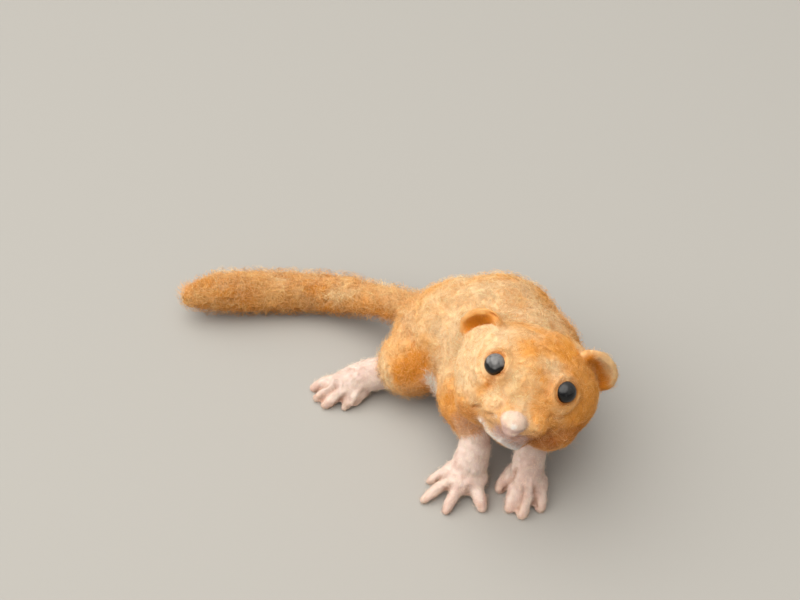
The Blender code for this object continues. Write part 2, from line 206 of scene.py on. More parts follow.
# %% The head's own frame
HEAD_YAW, HEAD_PITCH, HEAD_ROLL = -13.5, 23.7, 12.6
EYE_SPOT = np.array([6.7, -9.0, 5.2])  # the left eye
EYE_RADIUS = 2.05
EAR_SPOT = np.array([11.5, 1.7, 6.7])  # the left ear
EAR_LEAN, EAR_SPREAD = 50.0, 22.0
EAR_HALF_WIDTH, EAR_HALF_HEIGHT = 5.6, 3.9

HEAD_TURN = np.array(
    Matrix.Rotation(math.radians(HEAD_YAW), 3, "Z")
    @ Matrix.Rotation(math.radians(-HEAD_PITCH), 3, "X")
    @ Matrix.Rotation(math.radians(HEAD_ROLL), 3, "Y")
)
HEAD_CENTRE = np.array(EYE_MIDDLE) - HEAD_TURN @ (EYE_SPOT * (0, 1, 1))
EYE_CENTRES = [np.array(centre("eye_" + side)) for side in ("left", "right")]


def on_head(points):
    """World points, in mm, as the head's own x, y and z."""
    return (points - HEAD_CENTRE) @ HEAD_TURN


def from_head(points):
    """Points of the head's frame as world points, in mm."""
    return np.asarray(points, float) @ HEAD_TURN.T + HEAD_CENTRE


def on_ear(head_points, side):
    """Points of the head's frame in the frame of its left (1) or right (-1) ear."""
    lean = Matrix.Rotation(math.radians(side * EAR_LEAN), 3, "Y")
    spread = Matrix.Rotation(math.radians(side * EAR_SPREAD), 3, "Z")
    return (head_points - EAR_SPOT * (side, 1, 1)) @ np.array(lean @ spread)


print("the head's middle is at", HEAD_CENTRE.round(1), "mm")

# %% [markdown]
# Wool is uneven at every scale, so a smooth random field comes back all through this file: for
# lumps, for patches of colour and for the lie of the fibres. It is a lattice of scrambled
# numbers with smooth steps between them. The scrambling is fixed, so each run is the same.

# %% Smooth random fields
def noise(points, size, seed=0):
    """A value from 0 to 1 for each point (mm) that wanders over about `size` mm."""
    grid = points / size + 1000.0 + 31.7 * seed
    cell = np.floor(grid).astype(np.int64)
    step = grid - cell
    step = step * step * (3 - 2 * step)
    total = np.zeros(len(points))
    for corner in itertools.product((0, 1), repeat=3):
        key = (cell + corner) @ np.array([73856093, 19349663, 83492791])
        key = (key ^ (key >> 13)) * 1274126177 & 0xFFFFFFFF
        key = (key ^ (key >> 15)) * 2246822519 & 0xFFFFFFFF
        value = (key ^ (key >> 16)) % 65521 / 65520
        total += value * np.prod(np.where(corner, step, 1 - step), axis=1)
    return total


def ramp(low, high, values):
    """0 below low, 1 above high, and an even curve between."""
    share = np.clip((values - low) / (high - low), 0, 1)
    return share * share * (3 - 2 * share)


def length_of(vectors):
    return np.linalg.norm(vectors, axis=-1)


def unit(vectors):
    return vectors / np.maximum(length_of(vectors)[..., None], 1e-9)


# %% [markdown]
# ## The skin
# On the real figure the wool is one felted mass with no joins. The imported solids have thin
# gaps between them, so each is first swollen a little until they touch, and a voxel remesh then
# fuses them, as felting does. The eye sockets are filled, so that the beads sit tight in wool.

# %% Fuse the solids into one body of wool
SWELL = 0.2
VOXEL = 0.22
SOCKET_FILL = EYE_RADIUS + 0.15
FLESH = sorted(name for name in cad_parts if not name.startswith("eye_"))


def applied(obj):
    """Gives an object the mesh that its modifiers make."""
    graph = bpy.context.evaluated_depsgraph_get()
    made = bpy.data.meshes.new_from_object(obj.evaluated_get(graph))
    obj.modifiers.clear()
    obj.data = made
    return obj


bm = bmesh.new()
for name in FLESH:
    bm.from_mesh(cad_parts[name].data)
bmesh.ops.remove_doubles(bm, verts=bm.verts, dist=0.002 * MM)
bmesh.ops.recalc_face_normals(bm, faces=bm.faces)
bm.normal_update()
for vert in bm.verts:
    vert.co += vert.normal * SWELL * MM
for side in ("left", "right"):
    place = Matrix.Translation(centre("eye_" + side) * MM)
    bmesh.ops.create_icosphere(bm, subdivisions=3, radius=SOCKET_FILL * MM, matrix=place)
skin = placed("felt_skin", mesh_from(bm, "felt_skin"))
fuse = skin.modifiers.new("fuse", "REMESH")
fuse.mode = "VOXEL"
fuse.voxel_size = VOXEL * MM
soften = skin.modifiers.new("soften", "SMOOTH")
soften.factor = 0.5
soften.iterations = 5
applied(skin)
print("fused skin:", len(skin.data.polygons), "faces")

# %% [markdown]
# The face and ears need small faces and the back does not. Decimate leaves alone what has no
# weight in its vertex group, so the mesh is thinned in two goes: first everything but the head
# and paws, then the paws, each down to its own share.

# %% Thin the mesh where nothing small is going on
BODY_SHARE, PAW_SHARE, FACE_SHARE = 0.22, 0.40, 0.72
FACE_REACH = 13.0  # from the root of the snout
EAR_REACH = 6.6


def mesh_points(mesh):
    """Vertex places as rows of x, y and z, in mm."""
    return rows_of(mesh.vertices, "co", 3).astype(float) / MM


def mesh_normals(mesh):
    return unit(rows_of(mesh.vertex_normals, "vector", 3).astype(float))


def near_paw(points):
    """True inside any of the four boxes of the hands and feet."""
    inside = np.zeros(len(points), bool)
    for name in FLESH:
        if name.startswith(("forepaw", "hindfoot")):
            low, high = (np.array(corner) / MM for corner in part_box(name))
            inside |= np.all((points > low) & (points < high), axis=1)
    return inside


def near_face(points):
    head_points = on_head(points)
    found = length_of(head_points - EYE_SPOT * (0, 1, 0)) < FACE_REACH
    for side in (-1, 1):
        found |= length_of(head_points - EAR_SPOT * (side, 1, 1)) < EAR_REACH
    return found


def thin_out(obj, region, share):
    """Keeps that share of the triangles in a region, and all of them elsewhere."""
    chosen = region(mesh_points(obj.data))
    group = obj.vertex_groups.new(name="region")
    group.add(np.flatnonzero(chosen).tolist(), 1.0, "REPLACE")
    thin = obj.modifiers.new("thin", "DECIMATE")
    thin.ratio = 1 - chosen.mean() * (1 - share)
    thin.vertex_group = "region"
    thin.vertex_group_factor = 1.0
    thin.use_collapse_triangulate = True
    applied(obj)
    obj.vertex_groups.clear()
    print(f"thinned {chosen.mean():.0%} of the skin, now {len(obj.data.polygons)} faces")


thin_out(skin, lambda points: ~near_face(points) & ~near_paw(points), BODY_SHARE)
thin_out(skin, lambda points: near_paw(points) & ~near_face(points), PAW_SHARE)
thin_out(skin, near_face, FACE_SHARE)

# %% [markdown]
# Each point of the skin takes its wool from the solid that it lies nearest: tight pink on the
# paws and nose, short on the face and ears, loose elsewhere. A hard edge between two wools would
# look painted, so the shares are spread over the neighbours a few times.

# %% Which wool lies where
WOOLS = {"head": "face", "nose": "nose", "neck": "body", "torso": "body", "tail": "tail"}
for side in ("left", "right"):
    for part, kind in (("ear", "ear"), ("arm", "arm"), ("forepaw", "paw"), ("thigh", "thigh"),
                       ("hindfoot", "paw")):
        WOOLS[f"{part}_{side}"] = kind
KINDS = sorted(set(WOOLS.values()))
SPREAD_ROUNDS, NOSE_ROUNDS = 14, 4  # the edge of the nose stays crisp


def nearest(tree, points):
    """The place on a surface nearest each point, the facing there and the number of the face."""
    places, facings, faces, _ = zip(*(tree.find_nearest(point) for point in points))
    places, facings = (np.array([tuple(row) for row in rows]) for rows in (places, facings))
    return places, facings, np.array(faces)


corners, triangles, owner = [], [], []
for name in FLESH:
    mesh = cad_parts[name].data
    start = len(corners)
    corners.extend(v.co / MM for v in mesh.vertices)
    triangles.extend([start + k for k in face.vertices] for face in mesh.polygons)
    owner.extend([KINDS.index(WOOLS[name])] * len(mesh.polygons))
solids = BVHTree.FromPolygons(corners, triangles)
owner = np.array(owner)

points = mesh_points(skin.data)
owned = np.eye(len(KINDS))[owner[nearest(solids, points)[2]]]
ends = rows_of(skin.data.edges, "vertices", 2, np.int32)
both = np.concatenate([ends, ends[:, ::-1]])
links = np.bincount(both[:, 0], minlength=len(points))[:, None]


def averaged(columns):
    """Each vertex's columns, averaged over its neighbours."""
    sums = [np.bincount(both[:, 0], column[both[:, 1]], len(columns)) for column in columns.T]
    return np.stack(sums, 1) / links


share = owned
for rounds in range(1, SPREAD_ROUNDS + 1):
    share = 0.5 * share + 0.5 * averaged(share)
    if rounds == NOSE_ROUNDS:
        crisp = share
share[:, KINDS.index("nose")] = crisp[:, KINDS.index("nose")]
wool = {kind: share[:, k] for k, kind in enumerate(KINDS)}
print({kind: round(float(values.mean()), 3) for kind, values in wool.items()})

# %% [markdown]
# The solids of the head and the shoulders meet in a sharp crease. On the figure loose wool was
# laid over that join and needled down until head and body ran into one another. So the skin is
# relaxed along the join: every point there moves a little towards its neighbours, many times.

# %% Bridge the crease between the head and the shoulders
JOIN_ROUNDS = 90  # how wide the join is
RELAX_ROUNDS = 170  # how far it is filled
RELAX_STEP = 0.6  # how far towards its neighbours a point moves each time

face, body, arm = (owned[:, KINDS.index(kind)] for kind in ("face", "body", "arm"))
sides = np.column_stack([face, body + arm])
for rounds in range(JOIN_ROUNDS):
    sides = averaged(sides)
join = np.clip(6 * sides[:, 0] * sides[:, 1], 0, 1)[:, None]  # 1 where both sides reach, 0 away from it
for rounds in range(RELAX_ROUNDS):
    points += RELAX_STEP * join * (averaged(points) - points)
fill(skin.data.vertices, "co", points * MM)
skin.data.update()
print(f"the join takes in {(join > 0.2).mean():.0%} of the skin")

# %% [markdown]
# Felters blend carded wools: here cream, peach, apricot, ochre and a little rust, with pink for
# the hands and a trace of white at the chin. These are the colours of the raw wools, except that
# the dark brown of the mouth's crease and the deep pink between the fingers and toes are painted
# shade, the mauve is partly the lips' own colour and partly painted shade under the nose, and the
# white also makes a painted glint on the nose.

# %% The wools in the blend
CREAM, PEACH, APRICOT, PALE = map(linear, ("EDCB9E", "EBB87C", "E8A44C", "F5D6A6"))
OCHRE, RUST, CUP, CREASE_SHADE = map(linear, ("E28E18", "A8560E", "DA8418", "804A12"))
PINK, PINK_SHADE, PINK_CREASE_SHADE, WRIST = map(linear, ("EAD4C7", "D2AA9C", "96654C", "D2A284"))
LIP_AND_SHADE, TAN, WHITE_AND_GLINT, BAND = map(linear, ("C8A49C", "DDAC78", "F4EFE6", "D3D0CC"))

# %% [markdown]
# The maker drew the face with the needle: a line stabbed again and again sinks into a crease and
# the wool beside it swells. Each fold is a short path on the head, with how far it stands out or
# in, how wide it is and the colour laid along it. Along a crease that colour is darker: partly a
# darker line of wool, partly painted shade. A fold's points are put on the skin first, so that
# a fold follows the cheek instead of cutting through it.

# %% Folds of the face
FOLD_STEP = 0.3
EYE_RING = [(-9.0, -3.3, 7.8), (-9.8, -4.0, 6.9), (-9.6, -6.2, 6.0), (-9.9, -7.3, 4.7),
            (-9.5, -8.6, 3.4), (-8.3, -10.0, 2.3), (-7.1, -10.8, 2.2)]
RING_RIDGE = 0.85  # how far outside its crease the ring's ridge runs
LID_ARC = [(7.2, -10.6, 1.4), (8.7, -9.6, 2.1), (9.4, -8.7, 3.2), (9.7, -7.8, 4.8)]
MOUTH = [(-7.6, -9.6, -4.4), (-6.4, -11.6, -3.6), (-5.2, -13.6, -2.6), (-4.1, -14.6, -1.9)]
CHIN_BAND = [(-5.4, -10.1, -6.7), (-4.6, -10.9, -6.6), (-2.7, -12.6, -6.1), (-0.6, -13.2, -6.3),
             (1.2, -12.4, -7.2), (2.5, -11.6, -7.6)]


def pushed(path, middle, reach):
    """A path moved away from a point by that much."""
    path = np.array(path)
    return path + reach * unit(path - middle)


def mirrored(path):
    return [(-x, y, z) for x, y, z in path]


# Each fold: how far it rises, how wide it is, its colour (along a crease partly painted shade),
# how much of that, and its path
FOLDS = [
    # the dark brown along the mouth is painted shade in its crease
    (-0.72, 0.48, CREASE_SHADE, 1.00, MOUTH),
    (-0.30, 0.34, CREASE_SHADE, 0.60, mirrored(MOUTH)),
    (-0.25, 0.50, OCHRE, 0.45, [(-12.2, -5.2, -5.3), (-11.6, -6.5, -4.7), (-9.6, -8.8, -3.4)]),
    (-0.35, 0.32, OCHRE, 0.70, EYE_RING),
    (0.45, 0.60, CREAM, 0.50, pushed(EYE_RING, EYE_SPOT * (-1, 1, 1), RING_RIDGE)),
    (0.35, 0.50, CREAM, 0.60, [(-9.0, -3.0, 8.0), (-7.1, -4.6, 8.6), (-5.6, -6.4, 8.8)]),
    (-0.50, 0.60, RUST, 1.00, [(-6.9, -10.8, 3.3), (-6.3, -11.2, 2.7), (-6.5, -11.0, 1.6)]),
    (-0.25, 0.60, OCHRE, 1.00, [(-6.5, -11.0, 1.6), (-7.1, -10.9, 0.8), (-7.8, -10.4, -0.6)]),
    (-0.40, 0.42, RUST, 0.90, [(-4.8, -13.9, -0.8), (-4.0, -14.0, -0.6), (-3.2, -13.8, -0.2),
                               (-2.9, -12.9, 0.4)]),
    (-0.25, 0.30, OCHRE, 0.50, [(4.8, -13.9, -0.8), (3.6, -13.9, -0.5), (3.0, -13.2, 0.4)]),
    # painted shade: brown beside the bead of the left eye, where it sits in its socket
    (-0.35, 0.50, RUST, 0.60, [(3.8, -11.0, 4.4), (3.8, -10.9, 5.6), (3.7, -10.2, 6.7), (4.5, -8.9, 7.9)]),
    (0.25, 0.50, PEACH, 0.60, LID_ARC),
    (-0.12, 0.60, RUST, 0.35, pushed(LID_ARC, EYE_SPOT, 1.1)),
    (0.80, 0.60, BAND, 1.00, CHIN_BAND),
    (-0.20, 0.90, OCHRE, 0.60, [(-6.6, 3.0, 9.4), (-5.0, 2.4, 10.0), (-2.3, 0.4, 10.9),
                                (0.7, -0.4, 10.9), (3.8, 0.0, 10.5)]),
    (-0.90, 1.10, OCHRE, 0.95, [(-10.6, -0.4, 10.6), (-9.2, -0.5, 10.8), (-8.3, -0.4, 10.6)]),
    (1.10, 1.20, CREAM, 0.80, [(-12.9, 1.6, 3.2), (-12.2, 0.6, 4.9), (-11.0, 0.0, 6.6), (-9.6, -0.6, 8.2)]),
    (0.80, 2.20, OCHRE, 0.25, [(2.7, 0.8, 10.6), (5.2, 1.5, 10.0), (7.0, 2.0, 9.2)]),
]
# Creases between the fingers and toes: how far each rises, how wide it is, and its path in world
# millimetres. The one that rises fills the groove between two toes that are wrapped together.
PAW_CREASES = [
    (-0.30, 0.42, [(11.7, -22.8, 1.7), (12.8, -23.4, 3.8)]),
    (-0.30, 0.42, [(13.3, -25.4, 2.1), (14.1, -25.4, 3.5)]),
    (-0.30, 0.42, [(17.3, -26.5, 2.4), (17.3, -26.0, 3.7)]),
    (-0.55, 0.45, [(24.7, -24.9, 1.1), (25.7, -24.3, 4.0), (26.6, -23.9, 6.5)]),
    (-0.55, 0.45, [(26.8, -29.8, 1.8), (27.5, -28.5, 3.1), (28.0, -27.0, 4.8)]),
    (-0.55, 0.45, [(29.9, -29.4, 1.5), (30.4, -28.2, 2.6), (30.1, -26.8, 4.5)]),
    (-0.40, 0.45, [(-13.3, 0.5, 1.0), (-11.3, 0.5, 2.8)]),
    (-0.45, 0.50, [(-12.5, -1.7, 1.2), (-10.6, -1.0, 3.1), (-9.5, -0.6, 3.9)]),
    (-0.45, 0.50, [(-9.2, -3.0, 0.8), (-8.3, -2.6, 2.2), (-7.4, -2.1, 3.2)]),
    (0.45, 0.60, [(-6.4, -2.6, 1.6), (-5.4, -2.0, 3.0), (-4.1, -0.9, 4.3)]),
    (-0.60, 0.50, [(36.4, -0.5, 0.8), (36.6, 2.6, 3.2), (36.3, 4.5, 4.0)]),
    (-0.60, 0.50, [(38.9, -0.6, 0.8), (38.3, 2.6, 3.4), (37.5, 5.0, 4.2)]),
    (-0.60, 0.50, [(41.2, 0.5, 0.8), (39.7, 3.4, 3.4), (38.3, 6.0, 4.3)]),
    (-0.50, 0.45, [(42.7, 2.2, 0.8), (40.9, 4.6, 3.2), (39.2, 7.0, 4.2)]),
]


def searchable(mesh):
    """A mesh's corner places in mm, its triangles, and both as a tree that finds the nearest."""
    points, faces = mesh_points(mesh), rows_of(mesh.polygons, "vertices", 3, np.int32)
    return points, faces, BVHTree.FromPolygons(points.tolist(), faces.tolist())


def on_skin(path, tree):
    """A path of world points, put on the skin in short steps."""
    found = [path[:1]]
    for start, end in zip(path, path[1:]):
        steps = math.ceil(length_of(end - start) / FOLD_STEP)
        found.append(start + (end - start) * np.arange(1, steps + 1)[:, None] / steps)
    return nearest(tree, np.concatenate(found))[0]


points, _, bare_tree = searchable(skin.data)
FOLD_PATHS = [on_skin(from_head(fold[-1]), bare_tree) for fold in FOLDS]
FOLD_PATHS += [on_skin(np.array(crease[-1]), bare_tree) for crease in PAW_CREASES]
FOLD_RISES, FOLD_WIDTHS = np.array([row[:2] for row in FOLDS + PAW_CREASES]).T.copy()


def fold_shares(points):
    """For each fold and crease, how much each point lies in it, from 0 to 1."""
    shares = np.zeros((len(FOLD_PATHS), len(points)))
    for row, width, path in zip(shares, FOLD_WIDTHS, FOLD_PATHS):
        low, high = path.min(0) - 3 * width, path.max(0) + 3 * width
        near = np.flatnonzero(np.all((points > low) & (points < high), axis=1))
        best = np.full(len(near), 1e9)
        for start, end in zip(path, path[1:]):
            along = end - start
            t = np.clip((points[near] - start) @ along / max(along @ along, 1e-9), 0, 1)
            best = np.minimum(best, length_of(points[near] - start - t[:, None] * along))
        row[near] = np.exp(-(best / width) ** 2)
    return shares


print(len(FOLD_PATHS), "folds,", sum(len(path) for path in FOLD_PATHS), "points on the skin")

# %% [markdown]
# Needling leaves relief everywhere. The wool is drawn in by the coat's depth, because the fibres
# added later fill that depth, then lumps and pits are pressed in, the folds are stabbed and the
# rims of the ears are fattened.

# %% Press the relief into the skin
DEPTH = {"body": 0.75, "thigh": 0.55, "arm": 0.45, "tail": 1.1, "face": 0.26, "ear": 0.12, "nose": 0.0,
         "paw": -0.04}
LUMPS = {"body": 0.42, "thigh": 0.42, "arm": 0.40, "tail": 0.80, "face": 0.30, "ear": 0.2, "nose": 0.16,
         "paw": 0.12}
RIM_SWELL, CUP_FILL = 1.1, 0.8
LOWEST_SKIN = 0.02  # mm above the floor
# Where the dark of each ear's cup fades and ends, as shares of the ear's radius
CUP_EDGES = {-1: (0.50, 0.95), 1: (0.80, 0.95)}
BUMPS = [(0.80, 4.2), (0.50, 1.9), (0.32, 0.85)]  # the share of the lumps' height, and the pitch in mm


def pits(points):
    """Where the needle went in deepest: small round dents."""
    return ramp(0.66, 0.84, noise(points, 1.15, 4))


def ear_parts(points, normals):
    """How much each point lies on an ear's rim, in the dark of its cup, and on what is swollen.

    The left ear's cup is dark along the head only, and filled towards its outer rim.
    """
    rim, cup, swell = np.zeros((3, len(points)))
    for side, (fading, gone) in CUP_EDGES.items():
        place = on_ear(on_head(points), side)
        facing = on_ear(on_head(points + normals), side) - place
        round_it = np.hypot(place[:, 0] / EAR_HALF_WIDTH, place[:, 2] / EAR_HALF_HEIGHT)
        here = (round_it < 1.4) * ramp(0.6, 0.82, round_it)
        inwards = -(facing[:, 0] * place[:, 0] + facing[:, 2] * place[:, 2]) / EAR_HALF_WIDTH
        rim = np.maximum(rim, here)
        inner = here * ramp(0.1, 0.5, inwards) * (place[:, 1] < 0.6)
        front = ramp(-0.2, 0.3, -facing[:, 1])
        outer = ramp(0.05, 0.5, place[:, 2] / EAR_HALF_HEIGHT) * (side == 1)
        middle = (1 - ramp(0.15, 0.6, round_it)) * front * outer
        cup = np.maximum(cup, (1 - ramp(fading, gone, round_it)) * front * (1 - outer))
        swell = np.maximum(swell, RIM_SWELL * inner * (side == 1) + CUP_FILL * middle)
    return rim, cup, swell


normals = mesh_normals(skin.data)
depth = SWELL + sum(wool[kind] * value for kind, value in DEPTH.items())
height = sum(wool[kind] * value for kind, value in LUMPS.items())
bumps = sum(size * (noise(points, pitch, 1 + k) - 0.5) for k, (size, pitch) in enumerate(BUMPS))
relief = height * (bumps - 0.5 * pits(points)) - depth
shares = fold_shares(points)
relief += FOLD_RISES @ shares
wool["crease"] = shares[FOLD_RISES < 0].max(0)
rim, cup, swell = ear_parts(points, normals)
relief += wool["ear"] * swell
points += normals * relief[:, None]
points[:, 2] = np.maximum(points[:, 2], LOWEST_SKIN)
fill(skin.data.vertices, "co", points * MM)
skin.data.shade_smooth()
skin.data.update()
print("relief from", relief.min().round(2), "to", relief.max().round(2), "mm")

# %% [markdown]
# Shade is painted into the hollows, between the toes and in the creases of the neck. A vertex is in
# a hollow where the average of its wider surroundings lies above it.

# %% Find the hollows
HOLLOW_ROUNDS = 10
HOLLOW_DEPTH = 0.30  # mm, where a hollow is at its darkest

spread_points = points
for rounds in range(HOLLOW_ROUNDS):
    spread_points = averaged(spread_points)
normals = mesh_normals(skin.data)
wool["hollow"] = ramp(0.03, HOLLOW_DEPTH, ((spread_points - points) * normals).sum(1))
print("in hollows:", f"{wool['hollow'].mean():.1%}")

# %% [markdown]
# ## The colours of the wool
# The blend is a function of place, so that the skin and every fibre over it take the same
# markings. Patches are soft balls whose edges wander with the noise. On top come flecks, where
# a stray lock of darker wool was carded in. Light and shade are painted in as well: shade low
# down, underneath, on the side away from the light, in hollows, creases and pits and round the
# beads, light on top of the tail, and a glint on the nose.

# %% Markings
# Patches on the head: colour, strength, radius and places
HEAD_PATCHES = [
    (CREAM, 0.85, 5.0, [(-10.5, -5.0, 1.5), (-9.0, -3.0, 6.5), (-12.0, -1.0, 0.0)]),
    (PEACH, 0.80, 4.0, [(-4.5, -11.5, 0.5), (-4.5, -8.5, 7.5), (0.0, -13.2, 1.0), (2.5, -13.0, -0.5)]),
    (PALE, 0.45, 2.8, [(-1.8, -11.2, 4.4), (-0.2, -11.6, 3.0)]),
    (CREAM, 0.65, 2.4, [(3.2, -8.4, 8.6), (4.8, -6.8, 8.8), (-5.6, -12.3, 0.3), (-4.6, -12.8, 0.5),
                        (0.5, -13.6, 0.6)]),
    (OCHRE, 0.35, 2.4, [(0.2, -11.0, 4.6), (1.4, -9.8, 6.8)]),
    (OCHRE, 0.60, 2.6, [(-2.0, -6.0, 9.6), (1.0, -4.0, 10.4), (3.4, -3.4, 9.8)]),
    # ochre on the animal's left side of the head: partly its own colour, partly painted shade on the side
    # away from the light
    (OCHRE, 0.65, 4.6, [(11.0, -3.5, 5.5), (10.8, -6.5, 2.0), (11.5, -5.5, -1.0), (7.5, -3.0, 8.8)]),
    # ochre and rust on that side of the muzzle and chin: partly their own colour, partly painted shade
    (OCHRE, 0.55, 2.6, [(3.6, -12.0, 2.2), (5.2, -12.2, 0.0), (6.2, -11.6, -1.8)]),
    (RUST, 0.65, 2.8, [(6.2, -11.0, -4.4), (4.6, -12.6, -4.4), (9.6, -8.8, -3.4), (11.8, -5.4, -3.2)]),
    (RUST, 0.80, 2.2, [(5.7, -9.2, -6.8), (8.0, -9.0, -6.1)]),
    # ochre and rust under the animal's right cheek: partly their own colour, partly painted shade under the
    # cheek
    (OCHRE, 0.55, 3.0, [(-9.5, -7.4, -7.2), (-7.9, -8.8, -6.7), (-11.5, -4.5, -6.2)]),
    (RUST, 0.45, 1.8, [(-7.6, -8.8, -6.2), (-9.3, -7.6, -6.4)]),
    (TAN, 0.85, 1.4, [(-4.6, -14.0, -3.1), (-3.3, -14.4, -3.3), (-2.2, -14.5, -3.7)]),
    # the lips' own mauve, partly also painted shade under the nose
    (LIP_AND_SHADE, 0.95, 2.3, [(-0.6, -14.3, -4.7), (1.0, -14.0, -5.1), (2.4, -13.6, -5.2), (2.4, -12.6, -6.2)]),
    (WHITE_AND_GLINT, 0.95, 0.62, [(-3.6, -14.7, -1.8)]),
    (CREAM, 0.95, 2.0, [(7.6, 1.6, 9.8), (10.4, 0.3, 11.2), (11.8, 0.4, 11.0)]),
    (PALE, 0.85, 1.7, [(14.2, 1.2, 9.0), (12.9, 1.2, 10.2), (15.4, 1.2, 7.2), (15.8, 1.4, 5.4)]),
    (OCHRE, 0.90, 1.8, [(-10.3, -0.4, 10.9), (-9.4, -0.5, 10.8), (-8.6, -0.5, 10.7)]),
    (OCHRE, 0.65, 2.4, [(-13.6, 2.8, 4.2), (-14.4, 2.6, 5.6), (-13.0, 1.6, 8.6)]),
]
# Patches on the body: colour, strength, radius and places in world millimetres
BODY_PATCHES = [
    (PEACH, 0.75, 6.0, [(1.3, -1.0, 13.5), (3.2, -2.0, 6.5)]),
    (CREAM, 0.75, 4.6, [(12.1, -2.7, 19.3), (12.5, -5.0, 17.0), (14.3, -5.0, 20.0), (14.9, -2.3, 23.2)]),
    (PEACH, 0.60, 5.0, [(5.1, 15.8, 15.8), (-0.2, 19.8, 13.8)]),
    (OCHRE, 0.90, 3.6, [(4.5, -3.4, 11.6), (7.1, -2.4, 13.6)]),
    (RUST, 0.25, 2.4, [(6.1, -5.0, 7.7), (4.9, -3.4, 11.2)]),
    (APRICOT, 0.80, 2.2, [(9.9, -1.8, 18.6), (8.9, -0.7, 18.7)]),
    (OCHRE, 0.60, 4.0, [(13.3, -13.9, 14.5), (14.3, -16.4, 13.0)]),
    (WHITE_AND_GLINT, 1.00, 1.70, [(10.2, -4.4, 10.6), (10.6, -5.0, 9.7), (11.0, -5.6, 8.7), (11.2, -5.7, 7.3)]),
    (WRIST, 0.80, 3.2, [(15.4, -18.1, 11.6), (16.9, -18.5, 11.8), (18.5, -18.4, 11.4),
                        (28.1, -22.4, 10.0)]),
    (CREAM, 0.70, 2.4, [(-0.3, 0.9, 10.2), (0.1, -0.7, 10.1), (0.5, -1.7, 9.2), (1.0, -2.3, 7.7)]),
    (PALE, 0.75, 2.0, [(-10.6, 22.2, 9.6), (-8.6, 21.0, 9.8), (-6.8, 20.8, 11.0)]),
    (OCHRE, 0.80, 2.2, [(-2.0, 15.6, 10.0), (-0.2, 14.4, 10.0), (1.3, 13.2, 9.6)]),
    (CREAM, 0.60, 8.0, [(13.3, 2.1, 24.0), (21.3, 3.1, 27.0)]),
]


def patch(points, places, radius, seed):
    """1 inside any of the balls and 0 well outside, with a wandering edge."""
    far = np.min([length_of(points - np.array(place)) for place in places], axis=0)
    wander = 0.5 * radius * (noise(points, max(0.9, radius * 0.45), seed) - 0.5)
    return 1 - ramp(0.55 * radius, 1.25 * radius, far + wander)


def blend(colours, target, amount):
    return colours + (target - colours) * np.clip(amount, 0, 1)[:, None]


def layered(colours, layers):
    """Lays colours over one another, each given with how much of it there is."""
    for colour, amount in layers:
        colours = blend(colours, colour, amount)
    return colours


def body_wool(points, normals, wool):
    """Cream to apricot in soft clouds, with painted shade low down, underneath and on the side away
    from the light, and painted light on top of the tail.
    """
    broad, middle, fine = noise(points, 7.5, 11), noise(points, 2.6, 12), noise(points, 0.9, 13)
    clouds = 0.5 * broad + 0.3 * middle + 0.2 * fine
    low = 1 - ramp(5.0, 19.0, points[:, 2])
    far_side_shade = ramp(-0.1, 0.7, normals @ np.array([0.86, -0.1, -0.45]))
    up, tail = normals[:, 2], wool["tail"]
    tail_clouds = ramp(0.42, 0.66, 0.6 * noise(points, 3.4, 15) + 0.4 * noise(points, 1.4, 17))
    flecks = 0.3 * middle + 0.4 * noise(points, 1.2, 16) + 0.3 * noise(points, 0.5, 18)
    wisps = 0.6 * noise(points, 1.0, 19) + 0.4 * noise(points, 0.45, 21)
    specks = ramp(0.66, 0.82, noise(points, 0.75, 22))
    return layered(np.tile(CREAM, (len(points), 1)), [
        (PEACH, 0.3 + 0.7 * ramp(0.3, 0.65, clouds)),
        (APRICOT, 0.6 * ramp(0.42, 0.72, 0.5 * noise(points, 5.0, 14) + 0.5 * middle)),
        # painted shade: darker low down, near the floor
        (OCHRE, 0.65 * low * (1 - tail)),
        # painted shade on the side that faces away from the light
        (OCHRE, 0.85 * far_side_shade),
        # painted shade underneath
        (RUST, 0.75 * (1 - tail) * ramp(-0.1, 0.8, -up)),
        (APRICOT, 0.55 * tail),
        (OCHRE, 0.85 * tail * tail_clouds),
        # painted light: the tail paler on top, where it faces up
        (CREAM, 0.7 * tail * ramp(0.6, 1.2, up + 1.6 * (middle - 0.5))),
        # darker under the tail: partly darker wool, partly painted shade
        (RUST, 0.5 * tail * ramp(-0.1, 0.9, -up + 0.5 * (middle - 0.5))),
        (OCHRE, 0.75 * ramp(0.52, 0.76, flecks)),
        # rust specks at random, and painted shade in the needle's pits
        (RUST, 0.45 * np.maximum(pits(points), specks)),
        (PALE, 0.4 * ramp(0.58, 0.8, wisps)),
    ])


def patches(table, points, amount, seed):
    """A layer for each row of a table of patches."""
    return [(colour, strength * amount * patch(points, places, radius, seed + number))
            for number, (colour, strength, radius, places) in enumerate(table)]


